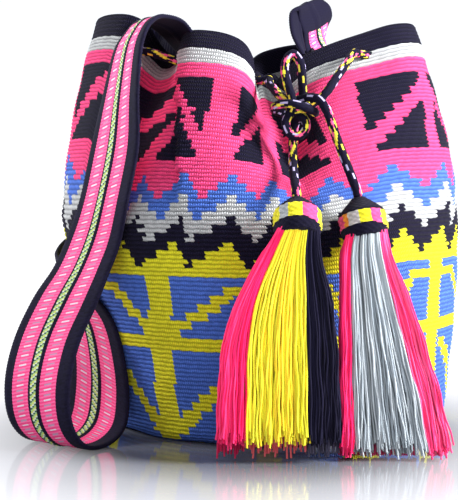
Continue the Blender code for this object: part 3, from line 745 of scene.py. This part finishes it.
# The rim turns over the cloth's edge from outside to inside
RIM_STEPS = 6
RIM_OUT = 0.0001
RIM_DROP = 0.0003


def rim_place(i, j):
    stitch = i % STITCHES
    turn = math.pi * j / RIM_STEPS
    out = -0.5 * WALL * (1.0 - np.cos(turn)) + RIM_OUT
    drop = RIM_DROP - 0.5 * WALL * np.sin(turn) - lift_at(stitch)
    # Every other column of vertices is painted darker, as painted shade between the stitches
    return raised(bag_surface(angle_of(stitch), drop, out), stitch, 0.0), 0.8 + 0.2 * (i % 2)


bag_rim = knit("bag_rim", STITCHES, RIM_STEPS, rim_place, plain(NAVY), crochet)

# The cloth's inner face, with half as many stitches, down to where the base begins. It is painted darker all
# over, as painted shade.
LINING_STEP = 2
LINING_ROWS = 52
LINING_END = 98
LINING_SHADE = 0.8


def lining_place(i, j):
    stitch, row = (i * LINING_STEP) % STITCHES, j * LINING_END / LINING_ROWS
    drop = drop_at(row) - lift_at(stitch) * np.maximum(1.0 - row / GREY_ROUND, 0.0) - rise_at(stitch, row)
    places = bag_surface(angle_of(stitch), drop, crease(stitch, row) - WALL)
    return raised(places, stitch, row), np.full(len(i), LINING_SHADE)


def lining_paint(i, j):
    return pattern(i * LINING_STEP, (j * LINING_END) // LINING_ROWS)


bag_lining = knit("bag_lining", STITCHES // LINING_STEP, LINING_ROWS, lining_place, lining_paint, crochet,
                  LINING_END / LINING_ROWS, drop=near_eyelet)

# The base's rings lie flat, with every other one a little higher. The base is painted a little darker, as
# painted shade.
BASE_STEP = 2
BASE_ROWS = 36
BASE_DROP = ROUND_DROPS[-1]
BASE_RELIEF = 0.0002
BASE_CENTRE = 0.004
BASE_SHADE = 0.9


def base_place(i, j):
    angle = angle_of((i * BASE_STEP) % STITCHES)
    places = bag_face(angle, np.full(len(i), BASE_DROP) + BASE_RELIEF)
    shrink = (1.0 - j / BASE_ROWS)[:, None]
    flat = np.column_stack([places[:, 0], places[:, 1], np.zeros(len(i))]) * np.maximum(shrink, BASE_CENTRE)
    flat[:, 2] = np.where(j == 0, places[:, 2], BASE_RELIEF + BASE_RELIEF * (j % 2))
    return flat, np.full(len(i), BASE_SHADE)


bag_base = knit("bag_base", STITCHES // BASE_STEP, BASE_ROWS, base_place, plain(BLUE), crochet)

for piece in (bag_wall, bag_rim, bag_lining, bag_base):
    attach(piece, "root")


# Shoulder strap: a thick warp-faced band of cotton, both faces alike, sewn inside the mouth at both
# ends. Navy borders, two pink fields with rows of pale dashes, a chain of green and yellow. The rows near
# both ends are painted all navy: painted shade where the band goes over the rim and down into the mouth,
# standing in also for the navy border that shows where the band is seen edge-on.
STRAP_WIDTH = 0.054
STRAP_THICK = 0.0028
STRAP_RIB = 0.0007
STRAP_STEP = 0.00104
STRAP_SLANT = 0.25
# Every other row of the band lies lower by WEFT and is painted darker by WEFT_SHADE, as painted shade
WEFT = 0.00016
WEFT_SHADE = 0.82
STRAP_STATIONS = (
    ((-66, -5, 250), (-52, -53, 251)), ((-68, -8, 256), (-54, -56, 258)),
    ((-77, -19, 266), (-63, -67, 270)), ((-86, -37, 271.5), (-74.5, -86, 271.5)),
    ((-93.5, -53, 271.5), (-81, -98, 267.5)), ((-101, -61, 262.5), (-85, -107, 260)),
    ((-108, -65, 250), (-87.5, -113, 247)), ((-114.7, -75, 219.5), (-88.5, -122, 219)),
    ((-122, -80, 187), (-88.5, -122.5, 187)), ((-128.9, -82, 154), (-95, -123, 154)),
    ((-137.9, -77, 130), (-100.5, -115, 129)), ((-147, -80, 110), (-107, -117, 110)),
    ((-159, -90, 91), (-114.5, -122, 90)), ((-170, -98, 66), (-124.5, -129, 66)),
    ((-174.5, -107, 41), (-129, -138, 41)), ((-172.5, -107, 18), (-127.5, -138, 18)),
    ((-164, -99, 4), (-119, -131, 3.5)), ((-152, -84, 2), (-107.5, -115.5, 2)),
    ((-143, -67, 10), (-99, -99.5, 9)), ((-140, -58, 28), (-97, -91.5, 25)),
    ((-140, -53, 50), (-99, -89.5, 47)), ((-143, -45, 68), (-107, -86, 76)),
    ((-148.5, -28, 77), (-125.5, -75, 98)), ((-149, -6, 71), (-148.5, -38, 113)),
    ((-143, 18, 71), (-154.4, -4, 120)), ((-135, 49, 78), (-150, 33, 127)),
    ((-118, 82, 88), (-135, 71, 137)), ((-90.5, 114, 103), (-107, 106, 152)),
    ((-54, 136.5, 124), (-71, 128.5, 175)), ((-12, 143.5, 153), (-36, 134, 203)),
    ((22, 136, 190), (-12, 125, 232)), ((47, 113, 214), (14, 120, 256)),
    ((55, 82, 240), (34, 106, 276)), ((27, 60, 262), (45, 95, 292)),
    ((22, 46, 277), (45, 87, 300)), ((18, 40, 287), (41, 85, 305)),
    ((17, 33, 292), (36, 83.5, 307)), ((12, 27, 288), (29, 75, 299)),
    ((13, 20, 273), (25, 68, 284)), ((20, 16, 258), (23, 64, 267)),
)
# Places across the band, from its far edge: borders, fields, thin lines and the chain
FAR_BORDER, CHAIN_START, CHAIN_END, NEAR_BORDER = 0.14, 0.432, 0.518, 0.81
THIN = 0.046
CHAIN_SIDE = 0.01
# How thick the band is at its selvedge and beside it, up to some place across it
EDGE, EDGE_THICK = 0.01, 0.35
BESIDE, BESIDE_THICK = 0.05, 0.92
PAINTED_SHADE_FIRST_ROWS, PAINTED_SHADE_LAST_ROWS = 62, 66
DASH_SIDE = 0.26
FIELD_TINTS = (linear(254, 108, 164), linear(248, 74, 138))
DASH_TINTS = (linear(232, 212, 228), linear(186, 150, 178))
CHAIN_TINTS = np.array((
    linear(160, 200, 140), linear(206, 212, 96), linear(206, 220, 206), linear(64, 92, 76),
))
strap_places = np.concatenate([
    (0.0, 0.02), np.linspace(0.02, FAR_BORDER, 4)[1:], np.linspace(FAR_BORDER, CHAIN_START - THIN, 8)[1:],
    np.linspace(CHAIN_START, CHAIN_END, 4), np.linspace(CHAIN_END + THIN, NEAR_BORDER, 8),
    np.linspace(NEAR_BORDER, 0.98, 5)[1:], (1.0,),
])
strap_side = len(strap_places)
strap_edges = [
    smooth_line(np.array([pair[side] for pair in STRAP_STATIONS]) * MM, steps=12) for side in (0, 1)
]
strap_run = run_of((strap_edges[0] + strap_edges[1]) * 0.5)
STRAP_ROWS = int(strap_run[-1] / STRAP_STEP)
wanted = np.linspace(0.0, strap_run[-1], STRAP_ROWS + 1)
strap_far, strap_near = (
    np.stack([np.interp(wanted, strap_run, edge[:, k]) for k in range(3)], axis=1) for edge in strap_edges
)
strap_middle = (strap_far + strap_near) * 0.5
strap_across = unit(strap_near - strap_far)
strap_out = unit(np.cross(np.gradient(strap_middle, axis=0), strap_across))


def along_strap(values, at):
    """Values of the strap's rows at places between them."""
    rows = np.arange(STRAP_ROWS + 1)
    return np.stack([np.interp(at, rows, values[:, k]) for k in range(3)], axis=1)


def strap_place(i, j):
    i = i % (2 * strap_side)
    front = i < strap_side
    at = strap_places[np.where(front, i, 2 * strap_side - 1 - i)]
    edge = np.minimum(at, 1.0 - at)
    share = np.where(edge < EDGE, EDGE_THICK, np.where(edge < BESIDE, BESIDE_THICK, 1.0))
    thick = 0.5 * STRAP_THICK * share
    thick = thick + STRAP_RIB * ((at > CHAIN_START - CHAIN_SIDE) & (at < CHAIN_END + CHAIN_SIDE))
    thick = thick + WEFT * np.where(j % 2 == 0, 1.0, -1.0)
    out = np.where(front, thick, -thick)
    row = np.clip(j - STRAP_SLANT * (at - 0.5) * STRAP_WIDTH / STRAP_STEP, 0.0, STRAP_ROWS)
    off = ((at - 0.5) * STRAP_WIDTH)[:, None]
    place = along_strap(strap_middle, row) + along_strap(strap_across, row) * off
    return place + along_strap(strap_out, row) * out[:, None], np.where(j % 2 == 0, 1.0, WEFT_SHADE)


def strap_paint(i, j):
    i = i % (2 * strap_side)
    i = np.where(i < strap_side, i, 2 * strap_side - 2 - i)
    at = (strap_places[np.clip(i, 0, strap_side - 1)] + strap_places[np.clip(i + 1, 0, strap_side - 1)]) * 0.5
    colour = np.tile(NAVY, (len(i), 1)) * (0.7 + 0.6 * hashed(i, j))[:, None]
    for low, high in ((FAR_BORDER, CHAIN_START - THIN), (CHAIN_END + THIN, NEAR_BORDER)):
        field = (at > low) & (at < high)
        colour[field] = np.where((j[field] % 2 == 0)[:, None], *FIELD_TINTS)
        dash = field & (np.abs(at - 0.5 * (low + high)) < DASH_SIDE * (high - low)) & (j % 3 == 0)
        colour[dash] = np.where((j[dash] // 3 % 2 == 0)[:, None], *DASH_TINTS)
    chain = (at > CHAIN_START) & (at < CHAIN_END)
    colour[chain] = CHAIN_TINTS[(j[chain] + i[chain]) % len(CHAIN_TINTS)]
    # Painted shade: the rows near both ends of the band are all navy
    colour[(j < PAINTED_SHADE_FIRST_ROWS) | (j > STRAP_ROWS - PAINTED_SHADE_LAST_ROWS)] = NAVY
    return colour


band_finish = yarn("woven_band", scale=1700.0, depth=0.0002)
strap = knit("strap", 2 * strap_side, STRAP_ROWS, strap_place, strap_paint, band_finish)
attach(strap, "root")
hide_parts("shoulder_strap")


# Tassel heads: knitted caps of many colours over the knots, wrapped tight with navy below. Each
# patch of colour ends at an angle from the front.
HEAD_RADIUS = 0.0142
HEAD_HEIGHT = 0.0255
HEAD_AROUND = 72
HEAD_ROWS = 48
RIB, RIB_ROW = 0.00024, 0.00014
# Painted shade on the cap's sunk stitches and painted light on its raised ribs
RIB_SUNK_SHADE, RIB_RAISED_LIGHT = 0.78, 0.24
SMOOTH_RADIUS = 0.003
# Where the navy wrap begins below the cap, in shares of its height: lower towards the right side
WRAP_TOP, WRAP_SAG, WRAP_TURN, WRAP_SPAN = -0.24, 0.08, 15.0, 50.0
HEAD_PROFILE = np.array((
    (0.02, 0.50), (0.26, 0.50), (0.42, 0.42), (0.80, 0.22), (0.97, 0.10), (1.0, -0.02), (0.98, -0.10),
    (0.94, -0.13), (1.0, -0.18), (0.98, -0.33), (0.90, -0.44), (0.84, -0.50), (0.60, -0.52),
)) * (HEAD_RADIUS, HEAD_HEIGHT)
HEADS = {
    "left": {
        "place": (7.05, -156.0, 144.77), "up": (-0.0041, 0.5322, 0.8466), "cone": 0.13,
        "patches": (
            (-52, (240, 230, 60)), (-24, (185, 190, 195)), (12, (242, 232, 50)), (56, (248, 85, 145)),
            (120, (240, 230, 60)), (170, (120, 150, 210)), (181, (248, 85, 145)),
        ),
    },
    "right": {
        "place": (46.53, -144.02, 143.98), "up": (-0.1545, 0.3359, 0.9292), "cone": 0.07,
        "patches": (
            (-60, (248, 85, 145)), (-44, (245, 150, 60)), (-16, (205, 200, 205)), (14, (244, 234, 50)),
            (44, (248, 85, 145)), (110, (244, 234, 60)), (181, (120, 150, 210)),
        ),
    },
}
head_finish = yarn("tassel_head", scale=1700.0, depth=0.00025, per_stitch=0.5)


def head_frame(side):
    """Middle of a head and its directions: across, away from the eye and up."""
    up = unit(np.array(HEADS[side]["up"]))
    deep = unit(np.cross(up, (1.0, 0.0, 0.0)))
    across = np.cross(deep, up)
    return np.array(HEADS[side]["place"]) * MM, across, deep, up


def make_head(side):
    centre, across, deep, up = head_frame(side)
    line = even_line(smooth_line(HEAD_PROFILE, steps=8), HEAD_ROWS + 1)
    patches = HEADS[side]["patches"]
    borders = np.array([angle for angle, _ in patches])
    tints = np.array([linear(*tint) for _, tint in patches])

    def place(i, j):
        turn = 2.0 * math.pi * (i % HEAD_AROUND) / HEAD_AROUND
        rib = (i + 2 * (j // 2)) % 4 < 2
        bump = RIB * (rib * 2.0 - 1.0) + RIB_ROW * (j % 2)
        reach = line[j, 0] + bump * (line[j, 0] > SMOOTH_RADIUS)
        around = across * np.sin(turn)[:, None] - deep * np.cos(turn)[:, None]
        places = centre + around * reach[:, None] + up * line[j, 1][:, None]
        return places, RIB_SUNK_SHADE + RIB_RAISED_LIGHT * rib

    def paint(i, j):
        turn = ((i + 0.5) * 360.0 / HEAD_AROUND + 180.0) % 360.0 - 180.0
        height = line[j, 1] / HEAD_HEIGHT
        colour = tints[np.searchsorted(borders, turn)]
        low = WRAP_TOP - WRAP_SAG * np.clip((turn - WRAP_TURN) / WRAP_SPAN, 0.0, 1.0)
        colour = np.where((height > HEADS[side]["cone"])[:, None] | (height < low)[:, None], NAVY, colour)
        return colour * (0.85 + 0.3 * hashed(i // 2, j // 2))[:, None]

    name = "head_" + side
    made = knit(name, HEAD_AROUND, HEAD_ROWS, place, paint, head_finish)
    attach(made, "root")
    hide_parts("tassel_head_" + side)
    return made


head_left = make_head("left")
head_right = make_head("right")

# Fringes: several hundred loose cotton threads of one colour each, knotted in under the cap. Here
# stand, in millimetres and as in the part, where the threads leave the cap, how deep they hang, and
# the borders between the colours at some heights above the floor. Ends are uneven.
FRINGES = {
    "left": {
        "colours": ("pink", "yellow", "navy"),
        "top": (-10.2, -5.6, 4.6, 10.2),
        "depth": -157.5,
        "levels": (
            (122.0, (-14.6, -7.8, 11.0, 20.6)), (99.0, (-26.8, -17.2, 12.0, 26.6)),
            (72.0, (-36.0, -22.0, 12.8, 30.0)), (42.0, (-38.6, -22.8, 13.6, 31.6)),
            (13.0, (-39.5, -23.2, 14.2, 32.6)),
        ),
    },
    "right": {
        "colours": ("pink", "silver", "rose"),
        "top": (-10.2, -6.6, 5.6, 10.2),
        "depth": -149.0,
        "levels": (
            (122.0, (33.8, 38.0, 57.0, 63.0)), (98.0, (33.7, 38.6, 63.0, 73.0)),
            (68.0, (33.8, 39.2, 71.0, 83.0)), (38.0, (34.2, 39.8, 79.0, 91.5)),
            (5.0, (35.0, 40.6, 85.5, 98.5)),
        ),
    },
}
FRINGE_DEPTH = 0.017
THREAD = 0.00115
THREAD_POINTS = 18
# Where a thread starts: down from the head's middle, and how far the threads spread under the cap
ROOT_DEPTH = 0.002
ROOT_SPREAD = 1.18
ROOT_RADIUS = HEAD_RADIUS * 0.98
ROOT_ROOM = 0.03
ROOT_INWARD = 0.8
# How far a thread strays sideways and in depth, and how wavy it is: turns and size of its waves
STRAY, STRAY_STEP = 0.8, 0.00045
STRAY_DEPTH = 0.5
WAVES = (2.2, 4.5)
WAVE_SIZES = (0.2, 1.0)
WAVE_GROWTH, WAVE_DEPTH = 0.7, 0.6
FULL_TURN = 6.28
# Threads behind this depth make the back layer, which is shorter. Ends in millimetres.
BACK_LAYER = 0.55
END_MEAN, END_SPREAD, BACK_SHORTER = 3.0, 3.0, 9.0
LOWEST_END = 0.001
# Two tints of the colour itself, and that of the back layer
THREAD_TINTS = {
    "pink": ((255, 60, 122), (250, 38, 104), (214, 40, 92)),
    "yellow": ((253, 246, 66), (251, 222, 58), (246, 110, 120)),
    "navy": ((26, 24, 46), (20, 18, 38), (92, 88, 112)),
    "silver": ((182, 190, 196), (158, 168, 176), (246, 92, 142)),
    "rose": ((255, 92, 146), (252, 62, 122), (255, 140, 176)),
}
THREAD_COUNTS = {"pink": 270, "yellow": 330, "navy": 290, "silver": 380, "rose": 230}
draw = random.Random(41)


def thread_line(side, k, s, t, end):
    """One thread's points: across by s in its colour's span, deep by t from -1 front to 1 back."""
    centre, across, deep, up = head_frame(side)
    fringe = FRINGES[side]
    low, high = fringe["top"][k] * MM, fringe["top"][k + 1] * MM
    root = centre - up * (0.5 * HEAD_HEIGHT - ROOT_DEPTH)
    reach = ROOT_SPREAD * (low + (high - low) * s)
    room = math.sqrt(max(1.0 - (reach / ROOT_RADIUS) ** 2, ROOT_ROOM))
    points = [root + across * reach + deep * (t * room * ROOT_INWARD * HEAD_RADIUS)]
    stray = draw.uniform(-STRAY, STRAY)
    for number, (height, borders) in enumerate(fringe["levels"]):
        low, high = borders[k] * MM, borders[k + 1] * MM
        x = low + (high - low) * s + stray * number * STRAY_STEP
        y = fringe["depth"] * MM + t * 0.5 * FRINGE_DEPTH + draw.uniform(-STRAY_DEPTH, STRAY_DEPTH) * MM
        z = height * MM if number < len(fringe["levels"]) - 1 else end
        points.append(np.array((x, y, z)))
    line = even_line(smooth_line(np.array(points), steps=6), THREAD_POINTS)
    # Yarn that was wound stays a little wavy, more so towards its loose end
    part = np.linspace(0.0, 1.0, THREAD_POINTS)
    turns, phase = draw.uniform(*WAVES), draw.uniform(0.0, FULL_TURN)
    size = MM * draw.uniform(*WAVE_SIZES) * part ** WAVE_GROWTH
    line[:, 0] += size * np.sin(turns * FULL_TURN * part + phase)
    line[:, 1] += WAVE_DEPTH * size * np.cos(turns * FULL_TURN * part + phase)
    return line


def make_fringe(side, k, colour):
    """All threads of one colour of one tassel, as one curve with a round section."""
    name = "fringe_%s_%s_threads" % (side, colour)
    curve = bpy.data.curves.new(name, "CURVE")
    curve.dimensions = "3D"
    curve.bevel_depth = 0.5 * THREAD
    curve.bevel_resolution = 1
    for number, tint in enumerate(THREAD_TINTS[colour]):
        finish_name = "thread_%s_%s_%d" % (side, colour, number)
        curve.materials.append(yarn(finish_name, tuple(linear(*tint)), scale=2600.0, depth=0.0001))
    bottom = FRINGES[side]["levels"][-1][0] * MM
    for number in range(THREAD_COUNTS[colour]):
        s, t = draw.random(), draw.uniform(-1.0, 1.0)
        behind = t > BACK_LAYER
        end = bottom + MM * (draw.gauss(END_MEAN, END_SPREAD) - BACK_SHORTER * behind)
        line = thread_line(side, k, s, t, max(end, LOWEST_END))
        spline = curve.splines.new("POLY")
        spline.points.add(THREAD_POINTS - 1)
        spline.points.foreach_set("co", np.column_stack([line, np.ones(len(line))]).ravel())
        spline.material_index = 2 if behind else draw.randrange(2)
    made = bpy.data.objects.new(name, curve)
    bpy.context.scene.collection.objects.link(made)
    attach(made, "root")
    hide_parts("fringe_%s_%s" % (side, colour))


for side, fringe in FRINGES.items():
    for k, colour in enumerate(fringe["colours"]):
        make_fringe(side, k, colour)
